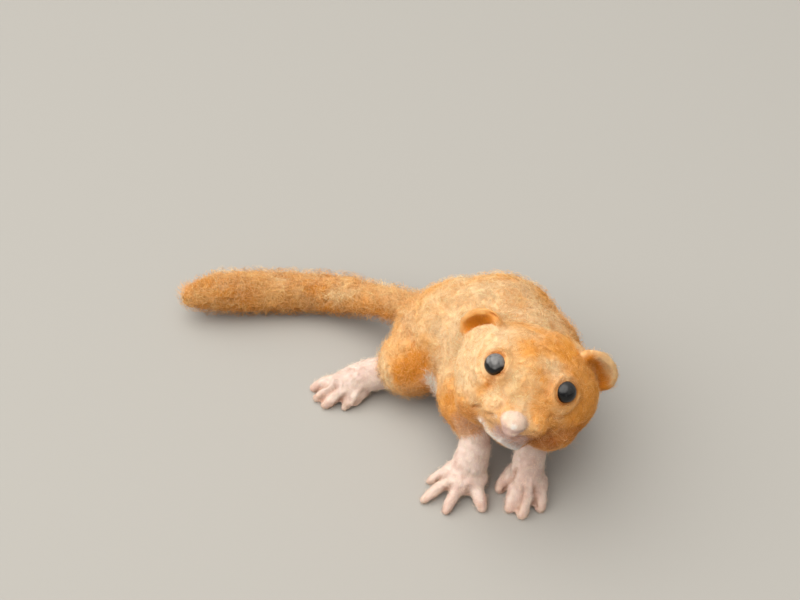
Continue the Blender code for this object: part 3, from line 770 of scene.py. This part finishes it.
def wool_colour(points, normals, wool):
    """The linear colour of the blended wool at each point, in mm."""
    head_points = on_head(points)
    shares = fold_shares(points)
    rim, cup, _ = ear_parts(points, normals)
    middle, fine = noise(points, 2.6, 12), noise(points, 0.9, 13)
    ear, nose = ramp(0.3, 0.7, wool["ear"]), ramp(0.35, 0.7, wool["nose"])
    on_face = wool["face"] + wool["ear"] + wool["nose"]
    bead_gap = np.min([length_of(points - eye) for eye in EYE_CENTRES], axis=0) - EYE_RADIUS
    pink = layered(np.tile(PINK, (len(points), 1)), [
        (PINK_SHADE, 0.5 * ramp(0.4, 0.75, 0.5 * fine + 0.5 * middle)),
        (WRIST, 0.35 * (1 - ramp(1.2, 4.2, points[:, 2] + middle))),
    ])
    # painted shade: deep pink in the hollows and sunk creases of the hands and feet
    sunk = (shares * (FOLD_RISES < 0)[:, None])[len(FOLDS):].max(0)
    dark = np.maximum(0.65 * wool["hollow"], 0.8 * np.sqrt(sunk))
    under_nose_shade = ramp(-0.1, 0.5, -normals @ HEAD_TURN[:, 2] + 0.3 * (fine - 0.5))
    return layered(body_wool(points, normals, wool), [
        # painted shade in the hollows, but not in the ears
        (RUST, 0.5 * wool["hollow"] * (1 - ear)),
        (PEACH, 0.35 * on_face),
        *patches(HEAD_PATCHES, head_points, on_face, 20),
        *patches(BODY_PATCHES, points, (1 - on_face) * (1 - wool["paw"]), 40),
        # each fold's colour: along a crease it is partly a darker line of wool, partly painted shade
        *[(fold[2], fold[3] * on_face * np.sqrt(row)) for fold, row in zip(FOLDS, shares)],
        (PEACH, 0.6 * ear * rim),
        (CUP, 0.95 * ear * cup),
        # painted shade: a rust ring round each bead, where it is pressed into the wool
        (RUST, 0.8 * ramp(0.2, 0.7, middle) * (1 - ramp(0.2, 0.95, bead_gap))),
        (blend(pink, PINK_CREASE_SHADE, dark), ramp(0.1, 0.6, wool["paw"] + 0.3 * (middle - 0.5))),
        (blend(pink, PEACH, np.full(len(points), 0.25)), nose),
        # painted shade: mauve on the underside of the nose, where it faces down
        (LIP_AND_SHADE, 0.9 * nose * under_nose_shade),
        # painted highlight: a small white glint on the nose
        (WHITE_AND_GLINT, 0.7 * patch(head_points, [(0.2, -16.7, -1.3)], 0.6, 60)),
    ])


def paint(mesh, colours):
    """Stores a linear colour at every vertex, under the name that the materials read."""
    layer = mesh.color_attributes.new("wool", "FLOAT_COLOR", "POINT")
    fill(layer.data, "color", np.column_stack([colours, np.ones(len(colours))]))


skin_colours = wool_colour(points, normals, wool)
paint(skin.data, skin_colours)
print("mean wool colour", skin_colours.mean(0).round(3))

# %% [markdown]
# Matted wool is rough and scatters light just under its surface, which is why felt glows rather
# than looking like clay. Sheen gives the pale edge that fibres seen side-on make. The fibres
# themselves are about 0.03 mm thick, too fine to show here, so the bump is drawn coarser.

# %% Materials for the felt and its fibres
MAT_PITCH = 0.8  # mm between the ridges of matted fibre
GRAIN_PITCH = 0.3  # mm between the small dents among them

WOOL_SHADE = {"Sheen Weight": 0.12, "Sheen Tint": (1.0, 0.8, 0.55, 1), "Specular IOR Level": 0.25}

felt, tree = new_material("needle_felted_wool")
place = add_node(tree, "TexCoord")
dye = add_node(tree, "Attribute", {"attribute_name": "wool"})
matted = add_node(tree, "TexNoise",
                  {"noise_type": "RIDGED_MULTIFRACTAL", "Scale": 1 / (MAT_PITCH * MM), "Detail": 3.0,
                   "Roughness": 0.6, "Distortion": 0.7},
                  {"Vector": place.outputs["Object"]})
grain = add_node(tree, "TexNoise", {"Scale": 1 / (GRAIN_PITCH * MM), "Detail": 3.0, "Roughness": 0.6},
                 {"Vector": place.outputs["Object"]})
tangle = add_node(tree, "Math", {"operation": "MULTIPLY_ADD", 1: 0.35},
                  {0: matted, 2: grain})
raised = add_node(tree, "Bump", {"Strength": 0.7, "Distance": 0.1 * MM}, {"Height": tangle})
light = add_node(tree, "MapRange", {"From Min": 0.5, "From Max": 1.3, "To Min": 0.94, "To Max": 1.05},
                 {"Value": tangle})
tinted = add_node(tree, "VectorMath", {"operation": "SCALE"},
                  {0: dye, "Scale": light})
matt = add_node(
    tree, "BsdfPrincipled",
    {**WOOL_SHADE, "Roughness": 0.92, "Sheen Roughness": 0.5, "Subsurface Weight": 0.15,
     "Subsurface Radius": (1.0, 0.5, 0.25), "Subsurface Scale": 0.6 * MM},
    {"Base Color": tinted, "Normal": raised},
)
add_node(tree, "OutputMaterial", (), {"Surface": matt})

fibre, tree = new_material("wool_fibre")
dye = add_node(tree, "Attribute", {"attribute_name": "wool"})
matt = add_node(tree, "BsdfPrincipled", {**WOOL_SHADE, "Roughness": 0.85, "Sheen Roughness": 0.4},
                {"Base Color": dye})
add_node(tree, "OutputMaterial", (), {"Surface": matt})

skin.data.materials.clear()
skin.data.materials.append(felt)
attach(skin, "root")
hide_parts(*FLESH)

# %% [markdown]
# ## The coat
# Every tuft keeps the colour of its root, so each is given one small patch of a shared map: the
# place of its root on an unwrap of the skin. A coarse copy of the skin unwraps in a moment, and
# a tuft then finds its place by the nearest point.

# %% Unwrap a coarse copy of the skin
UNWRAP_SHARE = 0.03
ISLAND_MARGIN = 0.004

flat = placed("unwrap", skin.data.copy())
thin = flat.modifiers.new("thin", "DECIMATE")
thin.ratio = UNWRAP_SHARE
applied(flat)
bpy.context.view_layer.objects.active = flat
flat.select_set(True)
bpy.ops.object.mode_set(mode="EDIT")
bpy.ops.mesh.select_all(action="SELECT")
bpy.ops.uv.smart_project(angle_limit=math.radians(66), island_margin=ISLAND_MARGIN)
bpy.ops.object.mode_set(mode="OBJECT")
flat_corners, flat_faces, flat_tree = searchable(flat.data)
flat_uv = rows_of(flat.data.uv_layers.active.data, "uv", 2).reshape(-1, 3, 2).astype(float)
bpy.data.objects.remove(flat)
print("unwrapped", len(flat_faces), "triangles")


def map_place(roots):
    """Where each root lies on the unwrapped skin, as rows of u and v."""
    on_face, _, faces = nearest(flat_tree, roots)
    a, b, c = (flat_corners[flat_faces[faces][:, k]] for k in range(3))
    whole = np.cross(b - a, c - a)
    scale = np.maximum((whole ** 2).sum(1), 1e-12)
    share_b = (np.cross(on_face - a, c - a) * whole).sum(1) / scale
    share_c = (np.cross(b - a, on_face - a) * whole).sum(1) / scale
    uv = flat_uv[faces]
    along_b, along_c = uv[:, 1] - uv[:, 0], uv[:, 2] - uv[:, 0]
    return uv[:, 0] + share_b[:, None] * along_b + share_c[:, None] * along_c


# %% [markdown]
# Fibres lie roughly from nose to tail, because that is how the wool was laid on, and down each
# limb. A few guide points carry a direction each, and a root takes a blend of the nearest. The
# noise then turns it, since needling mats the wool into swirls.

# %% The lie of the wool
SWIRL = 150.0  # degrees either way, before each wool's own factor
JITTER = 38.0
GUIDES = [centre("nose"), Vector(from_head((0, -3, 10))), centre("neck") + Vector((0, 0, 10)),
          centre("torso") + Vector((3, 4, 10)), centre("torso") + Vector((-4, 8, 4))]
tail_low, tail_high = (np.array(corner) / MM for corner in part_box("tail"))
tail_points = mesh_points(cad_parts["tail"].data)
for part in (0.85, 0.65, 0.45, 0.25, 0.08):
    x = tail_low[0] + part * (tail_high[0] - tail_low[0])
    near = tail_points[np.abs(tail_points[:, 0] - x) < 2.5]
    GUIDES.append(Vector((near.min(0) + near.max(0)) / 2))
guide_at = [(a + b) / 2 for a, b in zip(GUIDES, GUIDES[1:])]
guide_way = [(b - a).normalized() for a, b in zip(GUIDES, GUIDES[1:])]
for side in ("left", "right"):
    for above, below in (("arm_", "forepaw_"), ("thigh_", "hindfoot_")):
        top, foot = centre(above + side), centre(below + side)
        guide_at += [top, foot]
        guide_way += [(foot - top).normalized()] * 2
guide_at, guide_way = np.array(guide_at), np.array(guide_way)


def lie(points, normals, rng, swirl):
    """The direction of the fibre at each point, along the skin."""
    far = length_of(points[:, None] - guide_at[None])
    pull = 1 / far ** 4
    way = unit(pull @ guide_way)
    way = unit(way - (way * normals).sum(1)[:, None] * normals)
    turn = SWIRL * (2 * noise(points, 3.4, 70) - 1) + rng.normal(0, JITTER, len(points))
    turn = np.radians(turn) * swirl
    across = np.cross(normals, way)
    return np.cos(turn)[:, None] * way + np.sin(turn)[:, None] * across


print(len(guide_at), "guides for the lie of the wool")

# %% [markdown]
# A fibre is rooted just under the skin, rises a little, lies along the wool and is either
# needled back in or ends free. It is followed in a few steps: each step goes on along the skin
# and is put back on it, at the height that the fibre has there.

# %% Follow fibres over the skin
LOWEST_FIBRE = 0.05  # mm above the floor

skin_points, skin_faces, skin_tree = searchable(skin.data)
skin_normals = mesh_normals(skin.data)
a, b, c = (skin_points[skin_faces[:, k]] for k in range(3))
skin_area = length_of(np.cross(b - a, c - a)) / 2
print("the skin covers", int(skin_area.sum()), "square mm")


def follow(roots, normals, way, length, lift, bend):
    """Points along each fibre and the skin's facing there, from its height and turn at every step."""
    steps = lift.shape[1] - 1
    path = [roots + normals * lift[:, :1]]
    at, facing = roots, normals
    ups = [normals]
    for step in range(1, steps + 1):
        at, here, _ = nearest(skin_tree, at + way * (length / steps)[:, None])
        facing = unit(here + facing)
        path.append(at + facing * lift[:, step:step + 1])
        ups.append(facing)
        way = unit(way - (way * facing).sum(1)[:, None] * facing)
        way = unit(way + np.cross(facing, way) * bend[:, step - 1:step])
    path = np.stack(path, axis=1)
    path[:, :, 2] = np.maximum(path[:, :, 2], LOWEST_FIBRE)
    return path, np.stack(ups, axis=1)


# %% [markdown]
# A tuft is a thin closed tube with three sides, widest near its root and drawn to a point. With
# this many, one array is filled for all of them: the faces of a single tuft are written once as
# a template and repeated, each time with its vertex numbers moved on. Felted fibres are so fine
# that they light up like the surface they lie on, so each tube's shading leans to the skin's.

# %% Build tufts as one mesh
PATCH = 0.003  # the width of a tuft's place on the map
LEAN = 0.36  # how far the shading of a tube leans to that of the skin
TUFT_TAPER = [0.75, 1.0, 0.8, 0.3]  # its width at the root, at a third, at two thirds and at the tip
TUFT_FLATNESS = 0.6


def tuft_template(rings):
    """Faces, and each face corner's place on the patch, for a tube of that many rings and a tip."""
    faces, places = [[0, 1, 2]], [[(0.0, 0.0), (0.5, 0.0), (1.0, 0.0)]]
    for ring in range(rings):
        low, high = ring / rings, (ring + 1) / rings
        for side in range(3):
            left, right = side / 3, (side + 1) / 3
            a, b = 3 * ring + (side + 1) % 3, 3 * ring + side  # this way round its faces look outwards
            if ring == rings - 1:
                faces.append([a, b, 3 * rings])
                places.append([(left, low), (right, low), ((left + right) / 2, high)])
            else:
                faces.append([a, b, b + 3, a + 3])
                places.append([(left, low), (right, low), (right, high), (left, high)])
    return faces, places


def tufts(name, roots, path, facing, width, colours):
    """One object of tapered tubes from the roots along the paths (mm), each in its own colour."""
    count, rings = len(path), path.shape[1] - 1
    along = unit(path[:, 1:] - path[:, :-1])
    across = unit(np.cross(along, facing[:, :-1]))
    up = np.cross(across, along)
    taper = np.interp(np.arange(rings) / rings, [0, 0.35, 0.7, 1], TUFT_TAPER)
    radius = width[:, None, None] / 2 * taper[None, :, None]
    outwards = np.stack([math.cos(angle) * across + TUFT_FLATNESS * math.sin(angle) * up
                         for angle in np.radians((90, 210, 330))], axis=2)
    verts = (path[:, :-1, None] + radius[:, :, None] * outwards).reshape(count, rings * 3, 3)
    verts = np.concatenate([verts, path[:, -1:]], axis=1)
    shading = unit(LEAN * facing[:, :-1, None] + (1 - LEAN) * unit(outwards))
    shading = np.concatenate([shading.reshape(count, rings * 3, 3), facing[:, -1:]], axis=1)
    per_tuft = verts.shape[1]
    faces, spots = tuft_template(rings)
    sizes = np.array([len(face) for face in faces])
    loops, spots = np.concatenate(faces), np.concatenate(spots)
    all_loops = (loops[None] + per_tuft * np.arange(count)[:, None]).ravel()
    starts = np.concatenate([[0], np.cumsum(np.tile(sizes, count))[:-1]])
    mesh = bpy.data.meshes.new(name)
    mesh.vertices.add(count * per_tuft)
    fill(mesh.vertices, "co", verts * MM)
    mesh.loops.add(len(all_loops))
    fill(mesh.loops, "vertex_index", all_loops, np.int32)
    mesh.polygons.add(len(starts))
    fill(mesh.polygons, "loop_start", starts, np.int32)
    mesh.update(calc_edges=True)
    places = map_place(roots)[:, None] + PATCH * (spots[None] - 0.5)
    fill(mesh.uv_layers.new(name="OFBake").data, "uv", places)
    paint(mesh, np.repeat(colours, per_tuft, axis=0))
    mesh.shade_smooth()
    mesh.normals_split_custom_set_from_vertices(shading.reshape(-1, 3))
    mesh.materials.append(fibre)
    made = placed(name, mesh)
    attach(made, "root")
    print(f"{name}: {count} tufts, {int((sizes - 2).sum()) * count} triangles")


# %% [markdown]
# Density, length, width and height of the fibres come from the wool that the root lies in, in
# millimetres. The lying fibres make the surface. A second, sparse set is curlier and ends free
# in the air, or loops back: that is the haze round the outline of any felted thing, longest on
# the tail.

# %% Lay the coat
# For each wool: tufts in a square mm, length, width, height, and how far they swirl
LYING = {
    "body": (6.5, 2.1, 0.076, 0.34, 1.8), "thigh": (6.5, 2.1, 0.076, 0.36, 1.8),
    "arm": (7.0, 2.0, 0.080, 0.30, 1.4), "tail": (7.8, 2.6, 0.080, 0.50, 1.4),
    "face": (10.0, 1.5, 0.065, 0.17, 1.6), "ear": (11.0, 1.0, 0.055, 0.12, 1.4),
    "nose": (12.0, 0.7, 0.045, 0.05, 1.6), "paw": (7.0, 1.1, 0.055, 0.16, 1.4),
}
# The same for the free ones, where height is how far they stand out
FREE = {
    "body": (2.9, 2.5, 0.052, 1.20, 2.2), "thigh": (2.9, 2.5, 0.052, 1.20, 2.2),
    "arm": (2.9, 2.2, 0.050, 0.90, 2.2), "tail": (5.2, 3.0, 0.056, 1.7, 1.8),
    "face": (2.4, 1.5, 0.044, 0.50, 2.2), "ear": (4.0, 1.3, 0.040, 0.65, 2.2),
    "nose": (2.5, 0.7, 0.034, 0.20, 2.2), "paw": (3.0, 1.2, 0.042, 0.60, 2.2),
}
# How the height runs along a fibre, in one of a few shapes
LYING_SHAPES = np.array([[-0.5, 0.85, 1.0, 0.25], [-0.5, 0.5, 1.0, 0.7]])
FREE_SHAPES = np.array([[-0.15, 0.3, 0.55, 0.8, 1.0], [-0.15, 0.6, 0.9, 0.7, 0.25],
                        [-0.15, 0.5, 0.8, 0.9, 0.8]])
BEAD_CLEARANCE = 0.1
LOWEST_ROOT = 0.15  # mm above the floor
OCHRE_FIBRES, PALE_FIBRES = 0.20, 0.25  # the shares of stray fibres in the blend
DEEP_FOLD, WIDE_FOLD = -0.38, 0.8  # a narrow fold that sinks further has no fibre left across it
MOST_IN_PIECE = {4: 12000, 5: 8600}  # tufts, by points in each, so that a piece stays light


def scatter(table, seed):
    """Random roots on the skin, as dense as the table asks, with what each root needs."""
    rng = np.random.default_rng(seed)
    dense = sum(wool[kind] * row[0] for kind, row in table.items()) * (1 - 0.8 * wool["crease"])
    chance = skin_area * dense[skin_faces].mean(1)
    count = int(chance.sum())
    chosen = rng.choice(len(skin_faces), count, p=chance / chance.sum())
    split = np.sort(rng.random((count, 2)), axis=1)
    weights = np.diff(split, axis=1, prepend=0, append=1)
    face = skin_faces[chosen]
    roots = (skin_points[face] * weights[:, :, None]).sum(1)
    facing = unit((skin_normals[face] * weights[:, :, None]).sum(1))
    kinds = {kind: (values[face] * weights).sum(1) for kind, values in wool.items()}
    above = roots[:, 2] > LOWEST_ROOT
    return rng, roots[above], facing[above], {kind: values[above] for kind, values in kinds.items()}


def left_alone(path):
    """True for each fibre that crosses neither a glass eye nor a crease that was stabbed in."""
    stabbed = (FOLD_RISES < DEEP_FOLD) & (FOLD_WIDTHS < WIDE_FOLD)
    shares = [fold_shares(points)[stabbed].max(0) for points in path[:, 1:-1].swapaxes(0, 1)]
    clear = np.max(shares, axis=0) < 0.5
    for eye in EYE_CENTRES:
        clear &= length_of(path - eye).min(axis=1) > EYE_RADIUS + BEAD_CLEARANCE
    return clear


def coat(name, table, shapes, bend, pale, seed):
    """Lays one kind of fibre over the whole skin, so pale and bent, in pieces that stay light."""
    rng, roots, facing, kinds = scatter(table, seed)
    length, width, height, swirl = (
        sum(kinds[kind] * row[column] for kind, row in table.items()) for column in (1, 2, 3, 4)
    )
    count, steps = len(roots), shapes.shape[1]
    length = length * rng.uniform(0.6, 1.35, count)
    width = width * rng.uniform(0.7, 1.3, count)
    height = height * rng.uniform(0.2, 1.3, count)
    way = lie(roots, facing, rng, swirl)
    colours = wool_colour(roots, facing, kinds)
    tone = rng.random(count)
    loose = 1 - np.clip(kinds["paw"] + kinds["nose"], 0, 1)
    colours = blend(colours, OCHRE, 0.55 * loose * (tone < OCHRE_FIBRES))
    bright = (pale + 0.40 * (tone > 1 - PALE_FIBRES)) * (1 - kinds["ear"])
    colours = blend(colours, PALE, 0.5 * bright) * (1 + 0.5 * bright)[:, None]
    colours *= rng.uniform(0.88, 1.12, count)[:, None]
    lift = height[:, None] * shapes[rng.integers(len(shapes), size=count)]
    path, facing = follow(roots, facing, way, length, lift, rng.normal(0, bend, (count, steps)))
    order = np.argsort(roots[:, 0] + 0.2 * roots[:, 1])
    order = order[left_alone(path)[order]]
    parts = math.ceil(len(order) / MOST_IN_PIECE[steps])
    for number, rows in enumerate(np.array_split(order, parts)):
        tufts(f"{name}_{number + 1}", roots[rows], path[rows], facing[rows], width[rows],
              np.clip(colours[rows], 0, 0.95))


coat("coat_lying", LYING, LYING_SHAPES, 0.6, 0.0, seed=5)
coat("coat_free", FREE, FREE_SHAPES, 0.85, 0.24, seed=6)

# %% [markdown]
# Two sets of loose ends are laid one by one. At the tip of the tail the wool was never tucked in,
# so a wisp of it curls up. The whiskers are single pale hairs drawn through the muzzle.

# %% The wisp of the tail and the whiskers
WISP_HAIRS = 160
WISP_LENGTH, WISP_WIDTH = 3.0, 0.06
WHISKERS = 3  # on each side
WHISKER_LENGTH = 8.5
WHISKER_WIDTH = 0.03
WHISKER_ROOT = np.array([4.6, -12.6, -1.6])  # on the left of the muzzle


def strands(roots, start, end, length, points=6):
    """Paths that set off one way and turn smoothly to another."""
    path = [roots]
    for step in range(1, points):
        share = (step - 0.5) / (points - 1)
        way = unit(start * (1 - share) + end * share)
        path.append(path[-1] + way * (length / (points - 1))[:, None])
    return np.stack(path, axis=1)


def facing_up(path):
    """A facing straight up for every point, for hairs that leave the skin."""
    return np.tile((0.0, 0.0, 1.0), (*path.shape[:2], 1))


rng = np.random.default_rng(9)
tip = np.array([tail_low[0] + 3.0, *(np.array(GUIDES[-1])[1:])])
spread = rng.normal(0, 1, (WISP_HAIRS, 3))
roots = tip + spread * (0.9, 1.0, 0.9)
start = np.array([-1.0, -0.1, 0.3]) + 0.3 * rng.normal(0, 1, (WISP_HAIRS, 3))
end = np.array([-0.25, 0.25, 0.95]) + 0.35 * rng.normal(0, 1, (WISP_HAIRS, 3))
path = strands(roots, start, end, WISP_LENGTH * rng.uniform(0.5, 1.25, WISP_HAIRS))
path[:, :, 2] = np.maximum(path[:, :, 2], LOWEST_FIBRE)
colours = np.tile(PEACH, (WISP_HAIRS, 1)) * rng.uniform(0.85, 1.1, WISP_HAIRS)[:, None]
tufts("tail_wisp", roots, path, facing_up(path), np.full(WISP_HAIRS, WISP_WIDTH), colours)

paths, roots = [], []
for side in (-1, 1):
    spread = rng.normal(0, 1, (WHISKERS, 3)) * (0.3, 0.6, 0.8)
    roots.append(nearest(skin_tree, from_head((WHISKER_ROOT + spread) * (side, 1, 1)))[0])
    level = np.linspace(-0.5, 0.45, WHISKERS)
    out, ahead = np.full(WHISKERS, side), np.ones(WHISKERS)
    start = np.column_stack([0.85 * out, -0.5 * ahead, level]) @ HEAD_TURN.T
    end = np.column_stack([0.90 * out, 0.1 * ahead, level - 0.35]) @ HEAD_TURN.T
    paths.append(strands(roots[-1], start, end, WHISKER_LENGTH * rng.uniform(0.7, 1.1, WHISKERS)))
roots, path = np.concatenate(roots), np.concatenate(paths)
tufts("whiskers", roots, path, facing_up(path), np.full(len(path), WHISKER_WIDTH),
      np.tile(TAN, (len(path), 1)))

# %% [markdown]
# ## The eyes
# The eyes are black glass beads, pressed in to half their depth. A bead is a plain sphere with
# a worn, slightly wavy polish. A mottled grey is painted on top of each, more on the right one:
# a painted reflection of the bright window above. It is a colour at each vertex, and the faces
# are fine enough that the outline stays round close up.

# %% Glass bead eyes
WEAR_PITCH = 0.8  # mm between the dull spots of the polish
# the grey of a painted reflection, and how much of it lies on top of each bead
BLACK, REFLECTION_GREY = linear("050506"), linear("9C9A98")
REFLECTION_SHARE = {"left": 0.10, "right": 0.68}

bead_glass, tree = new_material("black_glass_bead")
place = add_node(tree, "TexCoord")
painted_reflection = add_node(tree, "Attribute", {"attribute_name": "wool"})
wear = add_node(tree, "TexNoise", {"Scale": 1 / (WEAR_PITCH * MM), "Detail": 4.0},
                {"Vector": place.outputs["Object"]})
polish = add_node(tree, "MapRange", {"From Min": 0.35, "From Max": 0.7, "To Min": 0.14, "To Max": 0.28},
                  {"Value": wear})
uneven = add_node(tree, "Bump", {"Strength": 0.5, "Distance": 0.05 * MM}, {"Height": wear})
glass = add_node(tree, "BsdfPrincipled", {"IOR": 1.42},
                 {"Base Color": painted_reflection, "Roughness": polish, "Normal": uneven})
add_node(tree, "OutputMaterial", (), {"Surface": glass})

for side in ("left", "right"):
    bm = bmesh.new()
    bmesh.ops.create_uvsphere(bm, u_segments=64, v_segments=40, radius=EYE_RADIUS * MM,
                              matrix=Matrix.Translation(centre("eye_" + side) * MM))
    mesh = mesh_from(bm, "bead_" + side)
    mesh.shade_smooth()
    top, bead_points = mesh_normals(mesh)[:, 2], mesh_points(mesh)
    # painted reflection of the window: grey where the bead faces up, mottled with noise
    reflection_patch = ramp(0.45, 0.8, top + 0.5 * (noise(bead_points, 0.7, 80) - 0.5))
    reflection_patch *= 0.6 + 0.4 * noise(bead_points, 0.3, 81)
    paint(mesh, blend(np.tile(BLACK, (len(top), 1)), REFLECTION_GREY, REFLECTION_SHARE[side] * reflection_patch))
    mesh.materials.append(bead_glass)
    bead = placed("bead_" + side, mesh)
    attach(bead, "root")
    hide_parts("eye_" + side)
print("beads are", 2 * EYE_RADIUS, "mm across")
